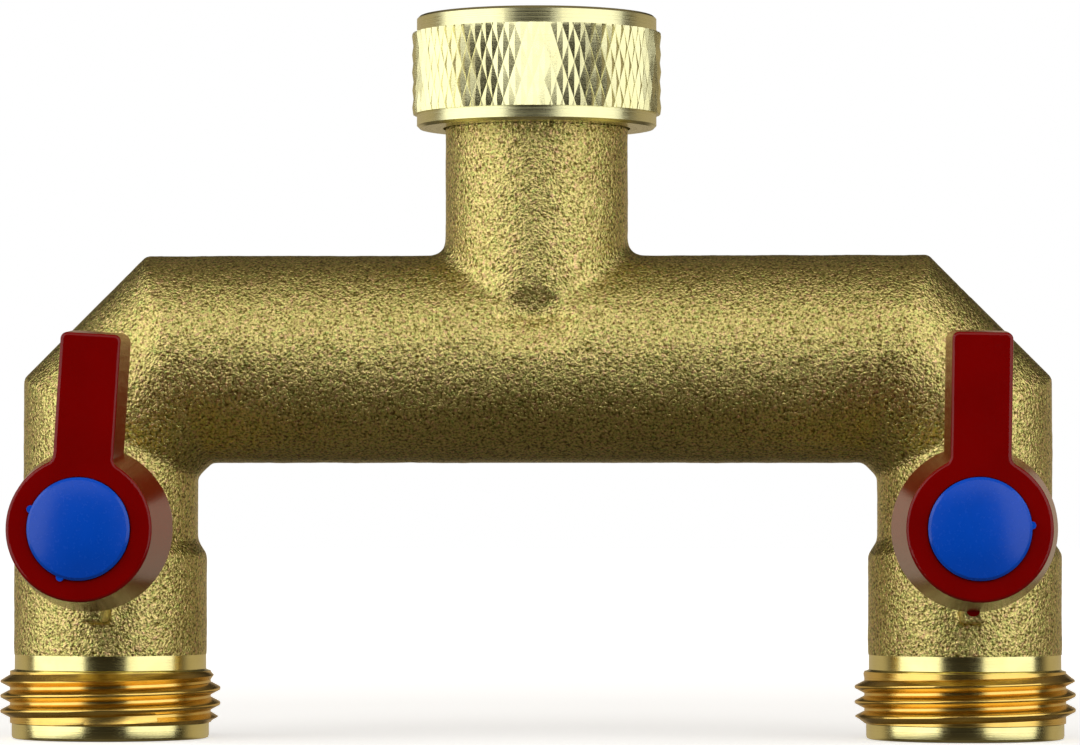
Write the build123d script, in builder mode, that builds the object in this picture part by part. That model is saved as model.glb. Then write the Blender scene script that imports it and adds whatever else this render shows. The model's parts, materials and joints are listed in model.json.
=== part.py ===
"""Two-way brass hose splitter: a swivel inlet nut, a cast U-shaped manifold and two ball valves.

The origin is the centre of the inlet washer's sealing face, where the tap's end stops. +Z is up,
the inlet's axis is Z, the valve levers are at the front (-Y) and the two outlets point down.
"""
from math import atan2, cos, degrees, hypot, radians, sin

from build123d import *
import os

os.makedirs("parts", exist_ok=True)

# ---- driving dimensions, in millimetres ----

# heights, from the inlet washer's sealing face
nut_top_z = 6.7
nut_bottom_z = -6.8
tube_z = -34.6
stem_z = -55.0
outlet_z = -80.2

# cast manifold
outlet_x = 51.4
tube_r = 12.5
leg_r = 10.5
leg_foot_r = 11.6
foot_top = 22.1
foot_cone = 1.7
neck_r = 11.0
neck_fillet = 1.8
corner_cut = 14.8
inner_corner = 1.7
straight_lead = 1.2
passage_r = 6.5
passage_bend = 8.0
inlet_bore_r = 7.0
neck_shoulder_z = -6.15
spigot_r = 9.6
spigot_top_z = -2.25

# G 3/4 pipe thread, inch size with 14 turns to the inch
thread_pitch = 25.4 / 14
thread_r = 13.22
thread_root_r = 12.06
thread_crest = 0.3

# outlet end, heights from its end face
lead_r = 11.85
lead_length = 1.9
first_crest = 2.9
outlet_crests = 3
thread_length = 8.1
collar_r = 11.5
collar_top = 10.1

# swivel nut
nut_rim_r = 14.45
knurl_r = 15.05
nut_bottom_rim = 1.7
nut_top_rim = 2.0
nut_recess_r = 11.3
nut_recess = 0.8
nut_web = 2.2
nut_hole_r = 9.8
nut_crests = 4
first_nut_crest = 1.0

washer_r = 11.9
washer_hole_r = 7.4
washer_thickness = 2.2
ring_wire_r = 0.6
ring_gap = 30

# ball valve, distances forward from the outlet's axis
ball_r = 7.5
ball_bore_r = 4.75
chamber_r = 8.5
mouth_r = 8.9
mouth_depth = 11.0
seat_near = 4.4
seat_far = 8.4
seat_bore_r = 5.0
seat_clearance = 0.05
retainer_length = 5.5
slot_width = 3.0
slot_floor = 5.8
tang_clearance = 0.05

spindle_r = 3.55
spindle_hole_r = 3.6
shoulder_r = 4.5
shoulder_hole_r = 4.6
thrust_washer_front = 9.9
thrust_washer_back = 9.3
shoulder_front = 11.2
stem_r = 3.0
gland_bore_r = 3.05
gland_r = 5.5
gland_back = 11.4
boss_r = 7.75
boss_front = 15.5
gland_front = 17.8
gland_hex = 12.5
groove_floor_r = 2.2
groove_width = 1.2
o_ring_wire_r = 0.4
inner_groove = 13.0
outer_groove = 15.2
square_back = 21.6
square_front = 26.9
square_side = 4.2
screw_r = 1.5
screw_end = 18.4

# quarter-turn stop: one cast lug, and a part-ring behind the handle that meets it at both ends
lug_width = 2.6
lug_reach = 11.0
lug_root = boss_r - 0.3
lug_front = 19.6
stop_ring_back = 17.9
stop_ring_inner_r = 8.25
stop_ring_outer_r = 9.4
stop_clearance = 0.6

# handle and its cap
hub_back = 21.0
hub_front = 32.2
hub_back_r = 9.65
hub_front_r = 8.35
lever_width = 6.9
lever_reach = 22.4
lever_thickness = 6.7
lever_draft = 0.45
lever_corner_r = 1.2
lever_root_r = 1.0
edge_round = 0.4
gate_stub_r = 0.85
gate_stub_reach = 10.15
gate_stub_length = 0.8
socket_side = 4.24
socket_front = 27.0
pocket_floor = 28.2
pocket_r = 5.65
flange_seat = 31.7
flange_seat_r = 6.0
screw_head_r = 3.0
screw_head = 1.9
cap_r = 5.9
cap_edge = 32.8
cap_crown = 33.5
cap_skirt_r = 5.6
cap_skirt_wall = 0.7
cap_skirt_back = 29.4
pry_nib_r = 0.45

# each valve stands open, its lever a few degrees short of its stop; a cap can sit at any angle.
# The two mouldings were cut from their runners differently, so their nibs and stubs aren't alike.
valves = {
    "left": {"x": -outlet_x, "lean": 3.5, "nibs": (161, 253), "gate_stub": False},
    "right": {"x": outlet_x, "lean": 1.0, "nibs": (5,), "gate_stub": True},
}


def save(builder, name):
    """Label a finished piece and write its STEP file."""
    builder.part.label = name
    export_step(builder.part, f"parts/{name}.step")


def level(z, x=0.0):
    """The horizontal plane at this height, centred on a vertical axis."""
    return Plane(origin=(x, 0, z), x_dir=(1, 0, 0), z_dir=(0, 0, 1))


def upright(x):
    """The vertical plane through this axis, in which turned profiles are drawn."""
    return Plane(origin=(x, 0, 0), x_dir=(1, 0, 0), z_dir=(0, -1, 0))


def facing(valve, forward, turned=True):
    """The plane that faces the front, this far forward of a valve's outlet axis.

    Its own y axis points up, or along the valve's lever where it is turned with it.
    """
    lean = radians(valve["lean"]) if turned else 0.0
    return Plane(
        origin=(valve["x"], -forward, stem_z),
        x_dir=(cos(lean), 0, -sin(lean)),
        z_dir=(0, -1, 0),
    )


def thread_points(first, crests, crest_r, root_r):
    """The outline of thread rings, as (radius, height) points from the lowest crest upwards."""
    flank = (thread_pitch - 2 * thread_crest) / 2
    points = []
    for turn in range(crests):
        middle = first + turn * thread_pitch
        points += [
            (root_r, middle - thread_crest / 2 - flank),
            (crest_r, middle - thread_crest / 2),
            (crest_r, middle + thread_crest / 2),
            (root_r, middle + thread_crest / 2 + flank),
        ]
    return points


# ---- manifold body ----

# an outlet leg's turned outline, as (radius, height above the outlet's end)
leg_top = tube_z - tube_r - outlet_z - inner_corner - straight_lead
leg_profile = [
    (0, 0),
    (lead_r - 0.4, 0),
    (lead_r, 0.4),
    (lead_r, lead_length),
    *thread_points(first_crest, outlet_crests, thread_r, thread_root_r),
    (thread_root_r, thread_length),
    (collar_r, thread_length + 0.3),
    (collar_r, collar_top),
    (leg_foot_r, collar_top),
    (leg_foot_r, foot_top),
    (leg_r, foot_top + foot_cone),
    (leg_r, leg_top),
    (0, leg_top),
]


tube_end_x = outlet_x - leg_r - inner_corner - straight_lead


def elbow_sections(side):
    """The four sections of a mitred elbow, from the tube to the leg, as (plane, its two radii).

    Both mitres start near the inner corner. They end where the 45 degree cut meets the tube's top
    and the leg's outer side. Every section is a circle or an ellipse whose first axis is Y.
    """
    tube_low, tube_high = tube_z - tube_r, tube_z + tube_r
    inner_x, outer_x = outlet_x - leg_r, outlet_x + leg_r
    leg_end_z = outlet_z + leg_top
    cuts = [
        ((tube_end_x, tube_low), (tube_end_x, tube_high), tube_r),
        ((inner_x - inner_corner, tube_low), (outer_x - corner_cut, tube_high), tube_r),
        ((inner_x, tube_low - inner_corner), (outer_x, tube_high - corner_cut), leg_r),
        ((inner_x, leg_end_z), (outer_x, leg_end_z), leg_r),
    ]
    for (x0, z0), (x1, z1), width_r in cuts:
        across, rise = side * (x1 - x0), z1 - z0
        middle = (side * (x0 + x1) / 2, 0, (z0 + z1) / 2)
        along = (side * rise, 0, -side * across)
        yield Plane(origin=middle, x_dir=(0, 1, 0), z_dir=along), width_r, hypot(across, rise) / 2


with BuildPart() as manifold_body:
    # horizontal tube, with the neck blended into it
    with BuildSketch(Plane.YZ):
        with Locations((0, tube_z)):
            Circle(tube_r)
    extrude(amount=tube_end_x, both=True)
    with BuildSketch(level(tube_z)):
        Circle(neck_r)
    extrude(amount=neck_shoulder_z - tube_z)
    saddle = edges(Select.LAST).filter_by(
        lambda e: e.geom_type not in (GeomType.LINE, GeomType.CIRCLE)
    )
    fillet(saddle, radius=neck_fillet)
    with BuildSketch(level(neck_shoulder_z)):
        Circle(spigot_r)
    extrude(amount=spigot_top_z - neck_shoulder_z)

    # mitred elbows down to the legs
    for side in (-1, 1):
        for plane, width_r, height_r in elbow_sections(side):
            with BuildSketch(plane):
                Ellipse(width_r, height_r)
        loft(ruled=True)

    # legs, each with its outlet thread, valve boss and stop lug
    for valve in valves.values():
        with BuildSketch(upright(valve["x"])):
            with BuildLine():
                Polyline([(r, outlet_z + h) for r, h in leg_profile], close=True)
            make_face()
        revolve(axis=Axis((valve["x"], 0, 0), (0, 0, 1)))
        with BuildSketch(facing(valve, 0, turned=False)):
            Circle(boss_r)
        extrude(amount=boss_front)
        with BuildSketch(facing(valve, leg_r / 2, turned=False)):
            with Locations((0, -(lug_reach + lug_root) / 2)):
                Rectangle(lug_width, lug_reach - lug_root)
        extrude(amount=lug_front - leg_r / 2)

    # waterways: one passage down through both legs, and the inlet's bore
    with BuildLine(Plane.XZ) as passage:
        FilletPolyline(
            (-outlet_x, stem_z),
            (-outlet_x, tube_z),
            (outlet_x, tube_z),
            (outlet_x, stem_z),
            radius=passage_bend,
        )
    with BuildSketch(level(stem_z, -outlet_x)):
        Circle(passage_r)
    sweep(path=passage.line, mode=Mode.SUBTRACT)
    with BuildSketch(level(tube_z)):
        Circle(inlet_bore_r)
    extrude(amount=-tube_z, mode=Mode.SUBTRACT)

    # groove for the snap ring that holds the swivel nut
    web_top_z = nut_bottom_z + nut_recess + nut_web
    with BuildSketch(level(web_top_z + 0.05)):
        Circle(spigot_r + 1)
        Circle(spigot_r - ring_wire_r + 0.1, mode=Mode.SUBTRACT)
    extrude(amount=2 * ring_wire_r + 0.1, mode=Mode.SUBTRACT)

    # valve chambers, and the stepped hole for each stem and gland
    for valve in valves.values():
        for hole_r, depth in ((mouth_r, mouth_depth), (chamber_r, stem_z + seat_far - outlet_z)):
            with BuildSketch(level(outlet_z, valve["x"])):
                Circle(hole_r)
            extrude(amount=depth, mode=Mode.SUBTRACT)
        for start, hole_r in (
            (0, spindle_hole_r),
            (thrust_washer_back, shoulder_hole_r),
            (gland_back, gland_r),
        ):
            with BuildSketch(facing(valve, start, turned=False)):
                Circle(hole_r)
            extrude(amount=boss_front - start, mode=Mode.SUBTRACT)

save(manifold_body, "manifold_body")

# ---- swivel inlet ----

nut_length = nut_top_z - nut_bottom_z
nut_crest_z = nut_top_z - first_nut_crest - (nut_crests - 1) * thread_pitch
nut_profile = [
    (nut_recess_r, nut_bottom_z),
    (nut_rim_r - 0.4, nut_bottom_z),
    (nut_rim_r, nut_bottom_z + 0.4),
    (nut_rim_r, nut_bottom_z + nut_bottom_rim),
    (knurl_r, nut_bottom_z + nut_bottom_rim + 0.2),
    (knurl_r, nut_top_z - nut_top_rim - 0.2),
    (nut_rim_r, nut_top_z - nut_top_rim),
    (nut_rim_r, nut_top_z - 0.3),
    (nut_rim_r - 0.3, nut_top_z),
    (thread_r, nut_top_z),
    *reversed(thread_points(nut_crest_z, nut_crests, thread_root_r, thread_r)),
    (thread_r, web_top_z),
    (nut_hole_r, web_top_z),
    (nut_hole_r, nut_bottom_z + nut_recess),
    (nut_recess_r, nut_bottom_z + nut_recess),
]
with BuildPart() as inlet_nut:
    with BuildSketch(upright(0)):
        with BuildLine():
            Polyline(nut_profile, close=True)
        make_face()
    revolve(axis=Axis.Z)
save(inlet_nut, "inlet_nut")

with BuildPart() as nut_snap_ring:
    with BuildSketch(upright(0)):
        with Locations((spigot_r + 0.12, web_top_z + 0.1 + ring_wire_r)):
            Circle(ring_wire_r)
    revolve(axis=Axis.Z, revolution_arc=360 - ring_gap)
save(nut_snap_ring, "nut_snap_ring")

with BuildPart() as inlet_washer:
    with BuildSketch(level(-washer_thickness)):
        Circle(washer_r)
        Circle(washer_hole_r, mode=Mode.SUBTRACT)
    extrude(amount=washer_thickness)
    fillet(inlet_washer.edges().filter_by(GeomType.CIRCLE), radius=0.3)
save(inlet_washer, "inlet_washer")

# ---- ball valves, one in each leg ----

for name, valve in valves.items():
    x = valve["x"]
    turning = Axis((x, 0, 0), (0, 0, 1))
    ball_centre = (x, 0, stem_z)

    with BuildPart() as ball:
        with Locations(ball_centre):
            Sphere(ball_r)
        bore_plane = Plane(origin=ball_centre, x_dir=(0, -1, 0), z_dir=facing(valve, 0).y_dir)
        with BuildSketch(bore_plane):
            Circle(ball_bore_r)
        extrude(amount=ball_r, both=True, mode=Mode.SUBTRACT)
        with BuildSketch(facing(valve, slot_floor)):
            Rectangle(3 * ball_r, slot_width)
        extrude(amount=ball_r, mode=Mode.SUBTRACT)
    save(ball, f"{name}_ball")

    # the seat rings hold the ball from above and below
    for seat_name, up in (("upper_seat", 1), ("lower_seat", -1)):
        with BuildPart() as seat:
            with BuildSketch(level(stem_z + up * seat_near, x)):
                Circle(chamber_r - seat_clearance)
                Circle(seat_bore_r, mode=Mode.SUBTRACT)
            extrude(amount=up * (seat_far - seat_near))
            with Locations(ball_centre):
                Sphere(ball_r + seat_clearance, mode=Mode.SUBTRACT)
        save(seat, f"{name}_{seat_name}")

    with BuildPart() as seat_retainer:
        retainer_z = stem_z - seat_far - retainer_length
        with BuildSketch(level(retainer_z, x)):
            Circle(chamber_r - seat_clearance)
            Circle(seat_bore_r + 0.2, mode=Mode.SUBTRACT)
        extrude(amount=retainer_length)
        with BuildSketch(level(retainer_z, x)):
            Rectangle(2 * chamber_r, 2.0)
        extrude(amount=2.0, mode=Mode.SUBTRACT)
    save(seat_retainer, f"{name}_seat_retainer")

    with BuildPart() as stem:
        with BuildSketch(facing(valve, slot_floor + 3 * tang_clearance)):
            Rectangle(2 * spindle_r - 0.4, slot_width - 2 * tang_clearance)
        extrude(amount=2)
        for back, front, radius in (
            (ball_r + 0.15, thrust_washer_front, spindle_r),
            (thrust_washer_front, shoulder_front, shoulder_r),
            (shoulder_front, square_back, stem_r),
        ):
            with BuildSketch(facing(valve, back)):
                Circle(radius)
            extrude(amount=front - back)
        with BuildSketch(facing(valve, square_back)):
            Rectangle(square_side, square_side)
        extrude(amount=square_front - square_back)
        for groove in (inner_groove, outer_groove):
            with BuildSketch(facing(valve, groove - groove_width / 2)):
                Circle(stem_r + 1)
                Circle(groove_floor_r, mode=Mode.SUBTRACT)
            extrude(amount=groove_width, mode=Mode.SUBTRACT)
        with BuildSketch(facing(valve, screw_end)):
            Circle(screw_r)
        extrude(amount=square_front - screw_end, mode=Mode.SUBTRACT)
    save(stem, f"{name}_stem")

    with BuildPart() as thrust_washer:
        with BuildSketch(facing(valve, thrust_washer_back)):
            Circle(shoulder_r)
            Circle(spindle_hole_r, mode=Mode.SUBTRACT)
        extrude(amount=thrust_washer_front - thrust_washer_back)
    save(thrust_washer, f"{name}_thrust_washer")

    # the O-rings lie in the stem's grooves and seal against the gland's bore
    for ring_name, forward in (("inner_o_ring", inner_groove), ("outer_o_ring", outer_groove)):
        with BuildPart() as o_ring:
            with BuildSketch(Plane(origin=(x, -forward, stem_z), x_dir=(1, 0, 0), z_dir=(0, 0, 1))):
                with Locations((groove_floor_r + o_ring_wire_r + 0.02, 0)):
                    Circle(o_ring_wire_r)
            revolve(axis=Axis((x, 0, stem_z), (0, 1, 0)))
        save(o_ring, f"{name}_{ring_name}")

    with BuildPart() as gland_nut:
        with BuildSketch(facing(valve, gland_back, turned=False)):
            Circle(gland_r)
        extrude(amount=boss_front - gland_back)
        with BuildSketch(facing(valve, boss_front, turned=False)):
            RegularPolygon(gland_hex / 2, 6, major_radius=False)
        extrude(amount=gland_front - boss_front)
        with BuildSketch(facing(valve, gland_back, turned=False)):
            Circle(gland_bore_r)
        extrude(amount=gland_front - gland_back, mode=Mode.SUBTRACT)
    save(gland_nut, f"{name}_gland_nut")

    with BuildPart() as handle:
        # conical hub, with a drafted lever flush with its front face
        with BuildSketch(facing(valve, hub_back)):
            Circle(hub_back_r)
        hub_length = hub_front - hub_back
        extrude(amount=hub_length, taper=degrees(atan2(hub_back_r - hub_front_r, hub_length)))
        with BuildSketch(facing(valve, hub_front - lever_thickness)):
            with Locations((0, (lever_reach + lever_draft) / 2)):
                Rectangle(lever_width + 2 * lever_draft, lever_reach + lever_draft)
            fillet(vertices().group_by(Axis.Y)[-1], radius=lever_corner_r)
        extrude(amount=lever_thickness, taper=degrees(atan2(lever_draft, lever_thickness)))
        roots = edges().filter_by_position(
            Axis.Z, stem_z + hub_front_r / 2, stem_z + hub_back_r
        ).filter_by_position(Axis.Y, -hub_front, lever_thickness - hub_front)
        lever_roots = roots.filter_by(
            lambda e: e.bounding_box().size.Y > 0.9 * lever_thickness
        )
        fillet(lever_roots, radius=lever_root_r)
        front_face = faces().sort_by(Axis.Y)[0]
        fillet(front_face.edges(), radius=edge_round)

        # part-ring that turns the lug's two sides into the open and closed stops
        lug_half_angle = degrees(atan2(lug_width / 2, stop_ring_inner_r)) + stop_clearance
        with BuildSketch(facing(valve, stop_ring_back)):
            Circle(stop_ring_outer_r)
            Circle(stop_ring_inner_r, mode=Mode.SUBTRACT)
            with BuildLine():
                swept = CenterArc((0, 0), 2 * hub_back_r, -90 - lug_half_angle, 90 + 2 * lug_half_angle)
                Polyline(swept @ 1, (0, 0), swept @ 0)
            make_face(mode=Mode.SUBTRACT)
        extrude(amount=hub_back - stop_ring_back)
        if valve["gate_stub"]:
            with BuildSketch(facing(valve, hub_back - gate_stub_length)):
                with Locations((0, gate_stub_r - gate_stub_reach)):
                    Circle(gate_stub_r)
            extrude(amount=gate_stub_length)

        # socket for the stem's square, screw hole and the cap's pocket
        with BuildSketch(facing(valve, hub_back)):
            Circle(stem_r + 0.1)
        extrude(amount=square_back - hub_back + 0.1, mode=Mode.SUBTRACT)
        with BuildSketch(facing(valve, hub_back)):
            Rectangle(socket_side, socket_side)
        extrude(amount=socket_front - hub_back, mode=Mode.SUBTRACT)
        for start, hole_r in (
            (socket_front, screw_r),
            (pocket_floor, pocket_r),
            (flange_seat, flange_seat_r),
        ):
            with BuildSketch(facing(valve, start)):
                Circle(hole_r)
            extrude(amount=hub_front - start, mode=Mode.SUBTRACT)
    save(handle, f"{name}_handle")

    with BuildPart() as handle_screw:
        with BuildSketch(facing(valve, screw_end)):
            Circle(screw_r)
        extrude(amount=pocket_floor - screw_end)
        with BuildSketch(facing(valve, pocket_floor)):
            Circle(screw_head_r)
        extrude(amount=screw_head)
        fillet(handle_screw.edges().sort_by(Axis.Y)[0], radius=0.8)
        with BuildSketch(facing(valve, pocket_floor + screw_head - 1.2)):
            Rectangle(3.2, 0.7)
            Rectangle(0.7, 3.2)
        extrude(amount=1.5, mode=Mode.SUBTRACT)
    save(handle_screw, f"{name}_handle_screw")

    with BuildPart() as cap:
        # domed disc with a skirt that snaps into the hub's pocket
        half_section = Plane(origin=(x, 0, stem_z), x_dir=(1, 0, 0), z_dir=(0, 0, 1))
        with BuildSketch(half_section):
            with BuildLine():
                dome = ThreePointArc(
                    (0, -cap_crown),
                    (cap_r / 2, -(cap_crown - (cap_crown - cap_edge) / 4)),
                    (cap_r - 0.3, -cap_edge),
                )
                Polyline(
                    dome @ 1,
                    (cap_r, -cap_edge + 0.3),
                    (cap_r, -flange_seat),
                    (cap_skirt_r, -flange_seat),
                    (cap_skirt_r, -cap_skirt_back),
                    (cap_skirt_r - cap_skirt_wall, -cap_skirt_back),
                    (cap_skirt_r - cap_skirt_wall, -flange_seat),
                    (0, -flange_seat),
                    dome @ 0,
                )
            make_face()
        revolve(axis=Axis((x, 0, stem_z), (0, 1, 0)))
        with BuildSketch(facing(valve, hub_front + 0.05)):
            for angle in valve["nibs"]:
                with PolarLocations(cap_r, 1, start_angle=angle):
                    Circle(pry_nib_r)
        extrude(amount=cap_edge - hub_front - 0.35)
    save(cap, f"{name}_cap")
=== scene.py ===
"""Looks of the two-way brass hose splitter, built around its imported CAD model.

The casting gets a rounded, grainy skin. The turned outlets get true helical threads, and the
swivel nut gets its diamond knurl. Lengths in this file are millimetres until they enter a mesh.
"""
import json
from math import cos, pi, radians, sin, tau

import bmesh
import bpy
import numpy as np
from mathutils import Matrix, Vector, noise


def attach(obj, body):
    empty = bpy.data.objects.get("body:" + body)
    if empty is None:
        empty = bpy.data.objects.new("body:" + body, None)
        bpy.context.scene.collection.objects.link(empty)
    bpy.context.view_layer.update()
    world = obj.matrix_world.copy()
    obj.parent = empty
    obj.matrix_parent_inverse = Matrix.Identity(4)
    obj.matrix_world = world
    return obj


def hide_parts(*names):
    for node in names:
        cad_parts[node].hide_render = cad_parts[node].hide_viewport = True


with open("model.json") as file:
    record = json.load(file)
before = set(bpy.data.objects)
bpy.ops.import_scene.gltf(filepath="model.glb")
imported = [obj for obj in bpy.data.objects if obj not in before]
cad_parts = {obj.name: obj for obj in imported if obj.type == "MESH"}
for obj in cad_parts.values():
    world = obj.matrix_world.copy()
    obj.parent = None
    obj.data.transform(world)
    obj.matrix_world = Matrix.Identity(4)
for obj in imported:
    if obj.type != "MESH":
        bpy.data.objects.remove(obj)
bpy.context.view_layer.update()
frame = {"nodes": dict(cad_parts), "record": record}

MM = 0.001
COLLECTION = bpy.context.scene.collection
SMOOTH_ANGLE = radians(32)
MERGE_DISTANCE = 2e-4
CUT_TOLERANCE = 1e-6

# ---- the object's dimensions, as in the CAD model ----

OUTLET_X = 51.4
OUTLET_Z = -80.2
STEM_Z = -55.0
TUBE_Z = -34.6
PARTING_H = 10.1    # height above the outlet's end where the cast skin meets the turned end
FOOT_R = 11.6

THREAD_PITCH = 25.4 / 14
THREAD_R = 13.22
THREAD_ROOT_R = 12.06
THREAD_LOW, THREAD_HIGH = 1.9, 8.1
LEAD_R = 11.85
COLLAR_R = 11.5
MOUTH_R = 8.9
# height of one crest above the outlet's end, at the front
THREAD_FRONT_H = {"left": 3.69, "right": 3.07}

NUT_TOP_Z = 6.7
NUT_BOTTOM_Z = -6.8
RIM_R = 14.45
KNURL_R = 15.05
KNURL_LOW, KNURL_HIGH = NUT_BOTTOM_Z + 1.7, NUT_TOP_Z - 2.0
KNURL_DEPTH = 0.28
# how far the knurl's points stray, as a length and as shares of a diamond's half width and height
KNURL_WEAR, KNURL_DRIFT, KNURL_SLIP = 0.06, 0.09, 0.05
DIAMONDS = 66
DIAMOND_HALF_HEIGHT = 2.15
RECESS_R, RECESS = 11.3, 0.8
WEB = 2.2
NUT_HOLE_R = 9.8
NUT_THREAD_LOW = -0.6


# ---- mesh helpers ----

def turned(bm, profile, angles):
    """A surface of revolution about Z, in quads. Each profile point is (radius, height), and
    either of them may vary with the angle.
    """
    rows = []
    for r, z in profile:
        r, z = np.broadcast_to(r, angles.shape), np.broadcast_to(z, angles.shape)
        points = np.stack([r * np.cos(angles), r * np.sin(angles), z], axis=1)
        rows.append([bm.verts.new(Vector(p) * MM) for p in points])
    for low, high in zip(rows, rows[1:]):
        for i in range(len(angles) - 1):
            bm.faces.new((low[i], low[i + 1], high[i + 1], high[i]))


def stitched(bm, first, second, centre=(0, 0)):
    """Fills the ring between two edge loops in one level plane, both round this centre."""
    def sorted_by_angle(loop):
        turn = {v: np.arctan2(v.co.y - centre[1], v.co.x - centre[0]) for e in loop for v in e.verts}
        return sorted(turn.items(), key=lambda item: item[1])

    a, b = sorted_by_angle(first), sorted_by_angle(second)
    i = j = 0
    while i < len(a) or j < len(b):
        next_a = a[(i + 1) % len(a)][1] + tau * ((i + 1) // len(a))
        next_b = b[(j + 1) % len(b)][1] + tau * ((j + 1) // len(b))
        here = (a[i % len(a)][0], b[j % len(b)][0])
        if j >= len(b) or (i < len(a) and next_a <= next_b):
            bm.faces.new((*here, a[(i + 1) % len(a)][0]))
            i += 1
        else:
            bm.faces.new((*here, b[(j + 1) % len(b)][0]))
            j += 1


def rim_loops(bm, height, centre=(0, 0), reach=1e9):
    """The two open edge loops at this height round a centre, the inner one first. All in metres."""
    middle = Vector(centre)

    def on_rim(v):
        return abs(v.co.z - height) < 1e-6 and (v.co.xy - middle).length < reach

    rim = [e for e in bm.edges if len(e.link_faces) == 1 and all(on_rim(v) for v in e.verts)]
    radii = [(e.verts[0].co.xy - middle).length for e in rim]
    limit = (min(radii) + max(radii)) / 2
    inner = [e for e, r in zip(rim, radii) if r < limit]
    outer = [e for e, r in zip(rim, radii) if r >= limit]
    return inner, outer


def finished(bm, name, body, material, nodes, origin=(0, 0, 0)):
    """The piece made from this mesh. Its origin is its own axis, so turning marks run round it."""
    bmesh.ops.remove_doubles(bm, verts=bm.verts, dist=MERGE_DISTANCE * MM)
    bmesh.ops.dissolve_degenerate(bm, edges=bm.edges, dist=MERGE_DISTANCE / 2 * MM)
    bmesh.ops.recalc_face_normals(bm, faces=bm.faces)
    mesh = bpy.data.meshes.new(name)
    bm.to_mesh(mesh)
    bm.free()
    mesh.shade_smooth()
    mesh.set_sharp_from_angle(angle=SMOOTH_ANGLE)
    mesh.materials.append(material)
    piece = bpy.data.objects.new(name, mesh)
    piece.location = Vector(origin) * MM
    COLLECTION.objects.link(piece)
    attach(piece, body)
    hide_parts(*nodes)
    return piece


# ---- materials ----

class Nodes:
    """A material's node tree, with short ways to add and join nodes."""

    def __init__(self, name):
        self.material = bpy.data.materials.new(name)
        self.material.use_nodes = True
        self.tree = self.material.node_tree
        self.shader = self.tree.nodes["Principled BSDF"]
        self.coordinates = self.add("ShaderNodeTexCoord").outputs["Object"]

    def add(self, kind, inputs=(), **settings):
        node = self.tree.nodes.new(kind)
        for key, value in settings.items():
            setattr(node, key, value)
        for key, value in dict(inputs).items():
            self.put(node.inputs[key], value)
        return node

    def put(self, socket, value):
        if isinstance(value, bpy.types.NodeSocket):
            self.tree.links.new(value, socket)
        else:
            socket.default_value = value

    def set(self, **values):
        for key, value in values.items():
            self.put(self.shader.inputs[key.replace("_", " ")], value)

    def noise(self, scale, detail=2.0, roughness=0.5, vector=None):
        return self.add("ShaderNodeTexNoise", {
            "Vector": vector or self.coordinates, "Scale": scale, "Detail": detail,
            "Roughness": roughness,
        }).outputs["Fac"]

    def cells(self, scale):
        """Distance to the nearest of many scattered points, for a sandy grain."""
        return self.add("ShaderNodeTexVoronoi", {
            "Vector": self.coordinates, "Scale": scale, "Randomness": 1.0,
        }).outputs["Distance"]

    def ramp(self, value, stops):
        node = self.add("ShaderNodeValToRGB", {"Fac": value})
        elements = node.color_ramp.elements
        while len(elements) < len(stops):
            elements.new(0.5)
        for element, (position, colour) in zip(elements, stops):
            element.position = position
            element.color = (*colour, 1)
        return node.outputs["Color"]

    def spread(self, value, low, high, to_low, to_high):
        """This value carried from low..high to to_low..to_high."""
        return self.add("ShaderNodeMapRange", {
            "Value": value, "From Min": low, "From Max": high, "To Min": to_low, "To Max": to_high,
        }).outputs["Result"]

    def mix(self, factor, a, b, blend="MIX"):
        node = self.add("ShaderNodeMix", data_type="RGBA", blend_type=blend)
        self.put(node.inputs["Factor"], factor)
        self.put(node.inputs[6], a)
        self.put(node.inputs[7], b)
        return node.outputs[2]

    def math(self, operation, a, b=0.0):
        node = self.add("ShaderNodeMath", operation=operation)
        self.put(node.inputs[0], a)
        self.put(node.inputs[1], b)
        return node.outputs[0]

    def bump(self, height, distance, strength=1.0, normal=None):
        node = self.add("ShaderNodeBump", {
            "Height": height, "Distance": distance, "Strength": strength,
        })
        if normal is not None:
            self.put(node.inputs["Normal"], normal)
        return node.outputs["Normal"]

    def rings(self):
        """Coordinates that vary only with the radius and height about the piece's own Z axis."""
        split = self.add("ShaderNodeSeparateXYZ", {"Vector": self.coordinates})
        x, y, z = (split.outputs[k] for k in "XYZ")
        squares = self.math("ADD", self.math("MULTIPLY", x, x), self.math("MULTIPLY", y, y))
        radius = self.math("SQRT", squares)
        return self.add("ShaderNodeCombineXYZ", {"X": radius, "Y": 0.0, "Z": z}).outputs["Vector"]


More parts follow.
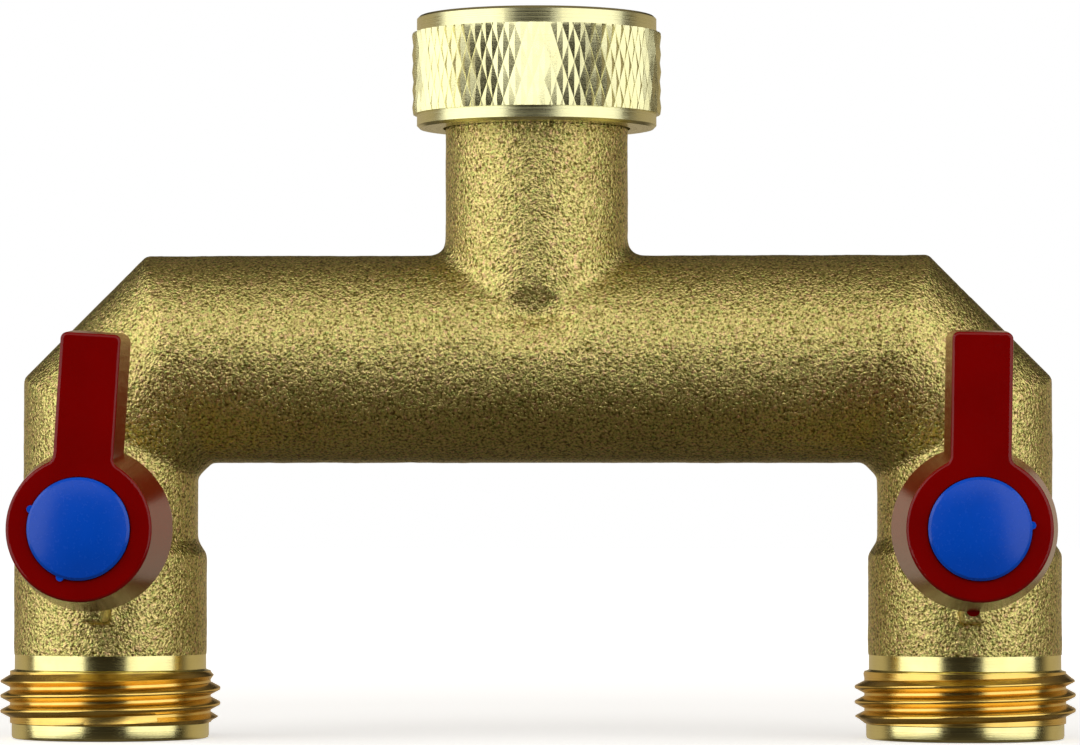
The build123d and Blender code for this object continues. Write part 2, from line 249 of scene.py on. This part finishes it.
def cast_brass():
    """Blasted cast brass: sandy grain with dark pits, and greenish to reddish stains."""
    n = Nodes("cast_brass")
    sand = n.cells(2900)
    grain = n.mix(0.35, n.noise(3100, 2.0, 0.55), n.spread(sand, 0.0, 0.8, 0.75, 0.25))
    fine = n.noise(5200, 1.0, 0.5)
    lumps = n.noise(650, 1.0, 0.5)
    blotch = n.noise(2100, 3.0, 0.7)
    tint = n.ramp(blotch, [
        (0.32, (0.66, 0.76, 0.22)),
        (0.45, (0.90, 0.78, 0.28)),
        (0.56, (0.97, 0.79, 0.32)),
        (0.68, (0.99, 0.60, 0.36)),
    ])
    pits = n.ramp(grain, [
        (0.34, (0.20, 0.18, 0.10)),
        (0.50, (0.80, 0.80, 0.74)),
        (0.62, (1.0, 1.0, 1.0)),
    ])
    broad = n.ramp(n.noise(90, 2.0, 0.5), [(0.3, (0.88, 0.88, 0.84)), (0.7, (1.0, 1.0, 1.0))])
    colour = n.mix(1.0, n.mix(1.0, tint, pits, "MULTIPLY"), broad, "MULTIPLY")
    coarse_bump = n.bump(grain, 0.00026, 1.0, n.bump(lumps, 0.00016, 1.0))
    n.set(
        Base_Color=colour, Metallic=1.0,
        Roughness=n.spread(fine, 0.3, 0.7, 0.26, 0.38),
        Normal=n.bump(fine, 0.00004, 1.0, coarse_bump),
    )
    return n.material


def machined_brass(name, colour, dull, roughness):
    """Turned brass: fine rings about the piece's axis, and faint stains."""
    n = Nodes(name)
    rings = n.rings()
    tool_marks = n.noise(6500, 2.0, 0.6, rings)
    bands = n.noise(900, 2.0, 0.5, rings)
    stains = n.noise(320, 3.0, 0.55)
    base = n.mix(n.spread(stains, 0.42, 0.72, 0.0, 0.5), (*colour, 1), (*dull, 1))
    base = n.mix(n.spread(bands, 0.35, 0.7, 0.0, 0.28), base, (*dull, 1))
    n.set(
        Base_Color=base, Metallic=1.0,
        Roughness=n.spread(tool_marks, 0.3, 0.7, roughness - 0.04, roughness + 0.1),
        Normal=n.bump(tool_marks, 0.000012, 0.8),
    )
    return n.material


def moulded_plastic(name, colour, worn, roughness, shine=0.5):
    """Plastic or rubber with a faint drift of colour and a fine skin."""
    n = Nodes(name)
    drift = n.noise(160, 2.0, 0.5)
    skin = n.noise(2600, 2.0, 0.5)
    n.set(
        Base_Color=n.mix(n.spread(drift, 0.35, 0.7, 0.0, 1.0), (*colour, 1), (*worn, 1)),
        Roughness=n.spread(skin, 0.3, 0.7, roughness - 0.04, roughness + 0.04),
        Normal=n.bump(skin, 0.000008, 0.5),
    )
    n.shader.inputs["Specular IOR Level"].default_value = shine
    return n.material


def plain_metal(name, colour, dull, roughness):
    """Steel or chrome with faint streaks."""
    n = Nodes(name)
    streaks = n.noise(1500, 3.0, 0.6)
    n.set(
        Base_Color=n.mix(n.spread(streaks, 0.35, 0.7, 0.0, 1.0), (*colour, 1), (*dull, 1)),
        Metallic=1.0,
        Roughness=n.spread(streaks, 0.3, 0.7, roughness - 0.03, roughness + 0.08),
        Normal=n.bump(streaks, 0.00001, 0.6),
    )
    return n.material


materials = {
    "cast_brass": cast_brass(),
    "machined_brass": machined_brass(
        "machined_brass", colour=(0.90, 0.82, 0.38), dull=(0.80, 0.68, 0.25), roughness=0.17),
    "red_plastic": moulded_plastic(
        "red_plastic", colour=(0.24, 0.0003, 0.0002), worn=(0.21, 0.0003, 0.0002), roughness=0.17,
        shine=0.28),
    "blue_plastic": moulded_plastic(
        "blue_plastic", colour=(0.0, 0.080, 0.64), worn=(0.0, 0.072, 0.58), roughness=0.25, shine=0.35),
    "black_rubber": moulded_plastic(
        "black_rubber", colour=(0.018, 0.018, 0.018), worn=(0.03, 0.029, 0.028), roughness=0.62),
    "ptfe": moulded_plastic(
        "ptfe", colour=(0.82, 0.82, 0.79), worn=(0.74, 0.74, 0.71), roughness=0.42),
    "chrome_plate": plain_metal(
        "chrome_plate", colour=(0.80, 0.80, 0.82), dull=(0.70, 0.70, 0.73), roughness=0.08),
    "steel": plain_metal(
        "steel", colour=(0.62, 0.62, 0.64), dull=(0.50, 0.50, 0.51), roughness=0.28),
}
thread_brass = machined_brass(
    "thread_brass", colour=(0.88, 0.62, 0.17), dull=(0.78, 0.48, 0.10), roughness=0.21)
nut_brass = machined_brass(
    "nut_brass", colour=(0.85, 0.82, 0.47), dull=(0.78, 0.73, 0.36), roughness=0.24)


# ---- casting ----

VOXEL = 0.34
ROUNDING_PASSES = 6
CAST_FACES = 188_000
# size of each layer of unevenness in the skin, and how far it moves the surface
UNEVENNESS = ((6, 0.06), (2.1, 0.03), (0.7, 0.03))

# every waterway with a little to spare, so that its walls stay smooth
LEG_WATER_R, LEG_WATER_TOP = 9.4, STEM_Z + 12
PASSAGE_WATER_R = 7.4
STEM_HOLE_R, STEM_HOLE_BACK = 5.9, -7.5
NECK_WATER_R, NECK_TURNED_Z = 7.6, -6.6

# the shallow hollow at the front of the neck's foot
FRONT_Y = -8
DIMPLE_TOP, DIMPLE_FALL, DIMPLE_LIP = -25.2, 4.6, 4.4
DIMPLE_HALF_WIDTH, DIMPLE_DEPTH = 5.2, 1.4


def inside_casting(x, y, z):
    """True where a point of the casting lies on one of its waterways, bores or turned faces."""
    leg = np.abs(x) - OUTLET_X
    in_leg = (np.hypot(leg, y) < LEG_WATER_R) & (z < LEG_WATER_TOP)
    in_tube = np.hypot(y, z - TUBE_Z) < PASSAGE_WATER_R
    in_bend = (np.hypot(leg, y) < PASSAGE_WATER_R) & (z < TUBE_Z)
    in_stem = (np.hypot(leg, z - STEM_Z) < STEM_HOLE_R) & (y < STEM_HOLE_BACK)
    in_neck = (np.hypot(x, y) < NECK_WATER_R) | (z > NECK_TURNED_Z)
    return in_leg | in_tube | in_bend | in_stem | in_neck


def dimple(points):
    """Depth of the shallow hollow at the front of the neck's foot, where the blend pinches."""
    x, y, z = points.T
    down = (DIMPLE_TOP - z) / DIMPLE_FALL
    deepening = np.clip(down, 0, 1) ** 1.4
    closing = np.clip(1 - (down - 1) * DIMPLE_FALL / DIMPLE_LIP, 0, 1)
    across = np.clip(1 - (x / (DIMPLE_HALF_WIDTH * np.clip(down, 0.25, 1))) ** 2, 0, 1)
    return np.where(y < FRONT_Y, DIMPLE_DEPTH * deepening * closing * across, 0.0)


def evaluated(piece):
    """A copy of the piece's mesh with its modifiers applied."""
    depsgraph = bpy.context.evaluated_depsgraph_get()
    return bpy.data.meshes.new_from_object(piece.evaluated_get(depsgraph))


def casting():
    """The casting's outer skin: the CAD shape with its edges rounded over and a blasted grain."""
    mesh = frame["nodes"]["manifold_body"].data.copy()
    bm = bmesh.new()
    bm.from_mesh(mesh)
    bmesh.ops.remove_doubles(bm, verts=bm.verts, dist=1e-6)
    # in millimetres while the skin is worked on
    bmesh.ops.scale(bm, vec=(1 / MM,) * 3, verts=bm.verts)
    bm.to_mesh(mesh)
    bm.free()
    work = bpy.data.objects.new("casting_work", mesh)
    COLLECTION.objects.link(work)
    remesh = work.modifiers.new("remesh", "REMESH")
    remesh.mode, remesh.voxel_size = "VOXEL", VOXEL
    smooth = work.modifiers.new("smooth", "SMOOTH")
    smooth.factor, smooth.iterations = 0.5, ROUNDING_PASSES
    skin = evaluated(work)

    count = len(skin.vertices)
    points, normals = np.empty(count * 3), np.empty(count * 3)
    skin.vertices.foreach_get("co", points)
    skin.vertices.foreach_get("normal", normals)
    points, normals = points.reshape(-1, 3), normals.reshape(-1, 3)
    outer = ~inside_casting(*points.T)
    points[:, 1] += dimple(points)
    for i in np.nonzero(outer)[0]:
        p = Vector(points[i])
        bulge = sum(height * noise.noise(p / size) for size, height in UNEVENNESS)
        points[i] += normals[i] * bulge
    skin.vertices.foreach_set("co", points.ravel())
    work.modifiers.clear()
    work.data = skin
    thin = work.modifiers.new("thin", "DECIMATE")
    thin.ratio = min(1.0, CAST_FACES / (2 * len(skin.polygons)))
    thinned = evaluated(work)
    bpy.data.objects.remove(work)

    bm = bmesh.new()
    bm.from_mesh(thinned)
    parting_z = OUTLET_Z + PARTING_H
    bmesh.ops.bisect_plane(
        bm, geom=bm.verts[:] + bm.edges[:] + bm.faces[:], dist=1e-5,
        plane_co=(0, 0, parting_z), plane_no=(0, 0, 1), clear_inner=True,
    )
    bmesh.ops.scale(bm, vec=(MM,) * 3, verts=bm.verts)
    for x in (-OUTLET_X, OUTLET_X):
        centre = (x * MM, 0)
        stitched(bm, *rim_loops(bm, parting_z * MM, centre, 2 * FOOT_R * MM), centre)
    finished(bm, "casting", "manifold", materials["cast_brass"], ["manifold_body"])


# ---- turned outlet ends ----

# one crest across: height from its middle, and share of the thread's depth
CREST = ((-0.76, 0.0), (-0.2, 0.93), (-0.07, 1.0), (0.07, 1.0), (0.2, 0.93), (0.76, 0.0))
TURNS = range(-2, 5)


def eased(share):
    share = np.clip(share, 0, 1)
    return share * share * (3 - 2 * share)


def thread_rows(angles, front_h, root_r, crest_r, low, high, fade_low, fade_high):
    """Rows of a right-hand thread, clamped between two heights and faded out at both ends."""
    rows = []
    depth = crest_r - root_r
    for turn in TURNS:
        middle = front_h + THREAD_PITCH * (turn + (angles + pi / 2) / tau)
        for offset, share in CREST:
            height = np.clip(middle + offset, low, high)
            fade = eased((height - low) / fade_low) * eased((high - height) / fade_high)
            rows.append((root_r + depth * share * fade, height))
    return rows


def outlet_end(side, x):
    """The turned end of one outlet: end face, lead, helical thread, collar and mouth."""
    angles = np.linspace(-pi, pi, 241)
    bm = bmesh.new()
    threads = thread_rows(
        angles, THREAD_FRONT_H[side], THREAD_ROOT_R, THREAD_R, THREAD_LOW, THREAD_HIGH,
        fade_low=0.9, fade_high=1.3,
    )
    mouth_top = PARTING_H + 0.4
    turned(bm, [
        (MOUTH_R, mouth_top),
        (MOUTH_R, 5.0),
        (MOUTH_R, 0.25),
        (MOUTH_R + 0.25, 0),
        (LEAD_R - 0.4, 0),
        (LEAD_R - 0.1, 0.1),
        (LEAD_R, 0.4),
        (LEAD_R, THREAD_LOW - 0.1),
        (THREAD_ROOT_R - 0.1, THREAD_LOW),
        *threads,
        (THREAD_ROOT_R, THREAD_HIGH),
        (COLLAR_R + 0.1, THREAD_HIGH + 0.15),
        (COLLAR_R, THREAD_HIGH + 0.25),
        (COLLAR_R, mouth_top),
        (MOUTH_R, mouth_top),
    ], angles)
    piece = finished(
        bm, f"{side}_outlet_end", "manifold", materials["machined_brass"],
        ["manifold_body"], (x, 0, OUTLET_Z),
    )
    # the threads have their own, redder brass; the mouth inside them doesn't
    piece.data.materials.append(thread_brass)
    for face in piece.data.polygons:
        height = face.center.z / MM
        outside = face.center.xy.length / MM > MOUTH_R + 1
        if outside and THREAD_LOW < height < THREAD_HIGH:
            face.material_index = 1


# ---- swivel nut ----

def knurled_band(bm):
    """A ring of raised diamonds, cut off level at both ends. Returns its two cut loops, low first."""
    half_turn = pi / DIAMONDS
    uneven = np.random.default_rng(5)
    first = int(np.floor(KNURL_LOW / DIAMOND_HALF_HEIGHT)) - 1
    last = int(np.ceil(KNURL_HIGH / DIAMOND_HALF_HEIGHT)) + 1

    def lattice_point(i, j):
        raised = (i + j) % 2
        r = (KNURL_R if raised else KNURL_R - KNURL_DEPTH) - uneven.uniform(0, KNURL_WEAR)
        angle = (i + uneven.uniform(-KNURL_DRIFT, KNURL_DRIFT)) * half_turn
        height = (j + uneven.uniform(-KNURL_SLIP, KNURL_SLIP)) * DIAMOND_HALF_HEIGHT
        return Vector((r * cos(angle), r * sin(angle), height)) * MM

    columns = 2 * DIAMONDS
    lattice = [(i, j) for i in range(columns) for j in range(first, last + 1)]
    made = {(i, j): bm.verts.new(lattice_point(i, j)) for i, j in lattice}
    for i in range(columns):
        for j in range(first, last):
            a, b = made[i, j], made[(i + 1) % columns, j]
            c, d = made[(i + 1) % columns, j + 1], made[i, j + 1]
            # the groove runs between the two low corners
            if (i + j) % 2:
                bm.faces.new((a, b, d))
                bm.faces.new((b, c, d))
            else:
                bm.faces.new((a, b, c))
                bm.faces.new((a, c, d))
    loops = []
    for height, keep_above in ((KNURL_LOW, True), (KNURL_HIGH, False)):
        cut = bmesh.ops.bisect_plane(
            bm, geom=bm.verts[:] + bm.edges[:] + bm.faces[:], dist=CUT_TOLERANCE * MM,
            plane_co=(0, 0, height * MM), plane_no=(0, 0, 1),
            clear_inner=keep_above, clear_outer=not keep_above,
        )
        loops.append([e for e in cut["geom_cut"] if isinstance(e, bmesh.types.BMEdge)])
    return loops


def extruded(bm, loop, profile):
    """Carries an edge loop on through (radius, height) points, in millimetres."""
    for r, z in profile:
        made = bmesh.ops.extrude_edge_only(bm, edges=loop)["geom"]
        for v in (g for g in made if isinstance(g, bmesh.types.BMVert)):
            angle = np.arctan2(v.co.y, v.co.x)
            v.co = Vector((r * cos(angle), r * sin(angle), z)) * MM
        loop = [g for g in made if isinstance(g, bmesh.types.BMEdge) and len(g.link_faces) == 1]


def swivel_nut():
    """The nut: a real knurl between two plain rims, and a real thread inside."""
    bm = bmesh.new()
    low_loop, high_loop = knurled_band(bm)
    extruded(bm, high_loop, [
        (RIM_R, KNURL_HIGH),
        (RIM_R, NUT_TOP_Z - 0.9),
        (RIM_R, NUT_TOP_Z - 0.3),
        (RIM_R - 0.3, NUT_TOP_Z),
    ])
    extruded(bm, low_loop, [
        (RIM_R, KNURL_LOW),
        (RIM_R, NUT_BOTTOM_Z + 0.8),
        (RIM_R, NUT_BOTTOM_Z + 0.35),
        (RIM_R - 0.35, NUT_BOTTOM_Z),
    ])
    angles = np.linspace(-pi, pi, 145)
    web_top = NUT_BOTTOM_Z + RECESS + WEB
    threads = thread_rows(
        angles, 0.3, THREAD_R, THREAD_ROOT_R, NUT_THREAD_LOW, NUT_TOP_Z - 0.35,
        fade_low=0.5, fade_high=0.5,
    )
    turned(bm, [
        (RECESS_R, NUT_BOTTOM_Z),
        (RECESS_R, NUT_BOTTOM_Z + RECESS),
        (NUT_HOLE_R, NUT_BOTTOM_Z + RECESS),
        (NUT_HOLE_R, web_top),
        (THREAD_R, web_top),
        (THREAD_R, NUT_THREAD_LOW),
        *threads,
        (THREAD_R, NUT_TOP_Z - 0.3),
        (THREAD_R + 0.3, NUT_TOP_Z),
    ], angles)
    bmesh.ops.remove_doubles(bm, verts=bm.verts, dist=MERGE_DISTANCE * MM)
    for height in (NUT_BOTTOM_Z, NUT_TOP_Z):
        stitched(bm, *rim_loops(bm, height * MM))
    finished(bm, "knurled_nut", "swivel_nut", nut_brass, ["inlet_nut"])


casting()
for side, x in (("left", -OUTLET_X), ("right", OUTLET_X)):
    outlet_end(side, x)
swivel_nut()

# the other CAD pieces keep their shape and get their slot's material
slots = {row["node"]: row["material_slot"] for row in frame["record"]["subparts"]}
for name, node in frame["nodes"].items():
    if node.hide_render:
        continue
    node.data.materials.clear()
    node.data.materials.append(materials[slots[name]])


# ---- studio ----

ROOM_COLOUR = (1.0, 0.83, 0.57)
LIT_CENTRE = (0, 0, -0.04)
# where the camera looks, how far off it stands and from which side, and its lens in millimetres
AIM = (0.4, 0, -36.2)
CAMERA_DISTANCE = 0.6
CAMERA_AZIMUTH, CAMERA_ELEVATION = radians(1.72), radians(-1.71)
LENS, SENSOR = 166.0, 36
FLOOR_SIZE, FLOOR_GAP = 4.0, 0.00005


def facing(azimuth, elevation):
    """The direction from the object to a light or camera. Azimuth 0 is the front, 90 the right."""
    return Vector((sin(azimuth) * cos(elevation), -cos(azimuth) * cos(elevation), sin(elevation)))


def area_light(name, azimuth, elevation, distance, size, level):
    """A softbox that faces the object. Angles are in degrees and lengths in metres.

    Its level is how bright it looks in a perfect mirror, where 1 is white.
    """
    direction = facing(radians(azimuth), radians(elevation))
    data = bpy.data.lights.new(name, "AREA")
    data.shape, data.size, data.size_y = "RECTANGLE", *size
    data.energy = level * pi * size[0] * size[1]
    lamp = bpy.data.objects.new(name, data)
    lamp.location = Vector(LIT_CENTRE) + direction * distance
    lamp.rotation_euler = direction.to_track_quat("Z", "Y").to_euler()
    lamp.visible_camera = False
    COLLECTION.objects.link(lamp)


def room_light():
    """The room as the brass mirrors it: soft bands above, below and behind. The camera sees white."""
    world = bpy.data.worlds.new("studio")
    bpy.context.scene.world = world
    world.use_nodes = True
    tree = world.node_tree
    background = tree.nodes["Background"]
    direction = tree.nodes.new("ShaderNodeSeparateXYZ")
    tree.links.new(tree.nodes.new("ShaderNodeTexCoord").outputs["Generated"], direction.inputs[0])

    def part(axis, start, end, level):
        """Light that grows to this level from one height or depth of the room to another."""
        node = tree.nodes.new("ShaderNodeMapRange")
        node.interpolation_type = "SMOOTHSTEP"
        for socket, value in (("From Min", start), ("From Max", end), ("To Max", level)):
            node.inputs[socket].default_value = value
        tree.links.new(direction.outputs[axis], node.inputs["Value"])
        return node.outputs["Result"]

    def joined(operation, a, b):
        node = tree.nodes.new("ShaderNodeMath")
        node.operation = operation
        for socket, value in zip(node.inputs, (a, b)):
            if isinstance(value, bpy.types.NodeSocket):
                tree.links.new(value, socket)
            else:
                socket.default_value = value
        return node.outputs[0]

    backdrop = joined("MULTIPLY", part("Y", 0.1, 0.5, 1.0), joined(
        "MULTIPLY", part("Z", 0.26, 0.12, 1.0), part("Z", -0.36, -0.24, 1.0)))
    room = joined("ADD", part("Z", -0.2, -0.6, 0.09), part("Z", 0.25, 0.8, 0.16))
    light = joined("ADD", joined("ADD", room, 0.02), joined("MULTIPLY", backdrop, 0.44))
    camera_ray = tree.nodes.new("ShaderNodeLightPath").outputs["Is Camera Ray"]
    shown = joined("MAXIMUM", light, camera_ray)
    tree.links.new(shown, background.inputs["Strength"])
    tint = tree.nodes.new("ShaderNodeMix")
    tint.data_type = "RGBA"
    tree.links.new(camera_ray, tint.inputs["Factor"])
    tint.inputs[6].default_value, tint.inputs[7].default_value = (*ROOM_COLOUR, 1), (1, 1, 1, 1)
    tree.links.new(tint.outputs[2], background.inputs["Color"])


def pale_floor():
    """A white floor that fades into the white background away from the object."""
    bm = bmesh.new()
    bmesh.ops.create_grid(bm, x_segments=8, y_segments=8, size=FLOOR_SIZE)
    mesh = bpy.data.meshes.new("floor")
    bm.to_mesh(mesh)
    bm.free()
    floor = bpy.data.objects.new("floor", mesh)
    floor.location.z = OUTLET_Z * MM - FLOOR_GAP
    COLLECTION.objects.link(floor)
    n = Nodes("floor")
    n.set(Base_Color=(0.9, 0.9, 0.9, 1), Roughness=0.9)
    n.shader.inputs["Specular IOR Level"].default_value = 0.1
    way_out = n.add("ShaderNodeVectorMath", {"Vector": n.coordinates}, operation="LENGTH")
    glow = n.spread(way_out.outputs["Value"], 0.12, 0.45, 0.55, 1.0)
    n.shader.inputs["Emission Color"].default_value = (1, 1, 1, 1)
    n.put(n.shader.inputs["Emission Strength"], glow)
    mesh.materials.append(n.material)
    floor.visible_glossy = False
    floor.visible_diffuse = False


def camera_view():
    camera = bpy.data.cameras.new("camera")
    camera.sensor_width = SENSOR
    camera.lens = LENS
    camera.clip_start = 0.05
    seen_from = bpy.data.objects.new("camera", camera)
    back = facing(CAMERA_AZIMUTH, CAMERA_ELEVATION)
    seen_from.location = Vector(AIM) * MM + back * CAMERA_DISTANCE
    seen_from.rotation_euler = back.to_track_quat("Z", "Y").to_euler()
    COLLECTION.objects.link(seen_from)
    bpy.context.scene.camera = seen_from
    bpy.context.scene.view_settings.view_transform = "Standard"


area_light("left_softbox", -63, 14, distance=0.6, size=(0.87, 0.78), level=1.6)
area_light("right_softbox", 55, 14, distance=0.6, size=(0.81, 0.78), level=1.36)
area_light("top_softbox", 0, 46, distance=0.6, size=(0.5, 0.56), level=0.85)
room_light()
pale_floor()
camera_view()
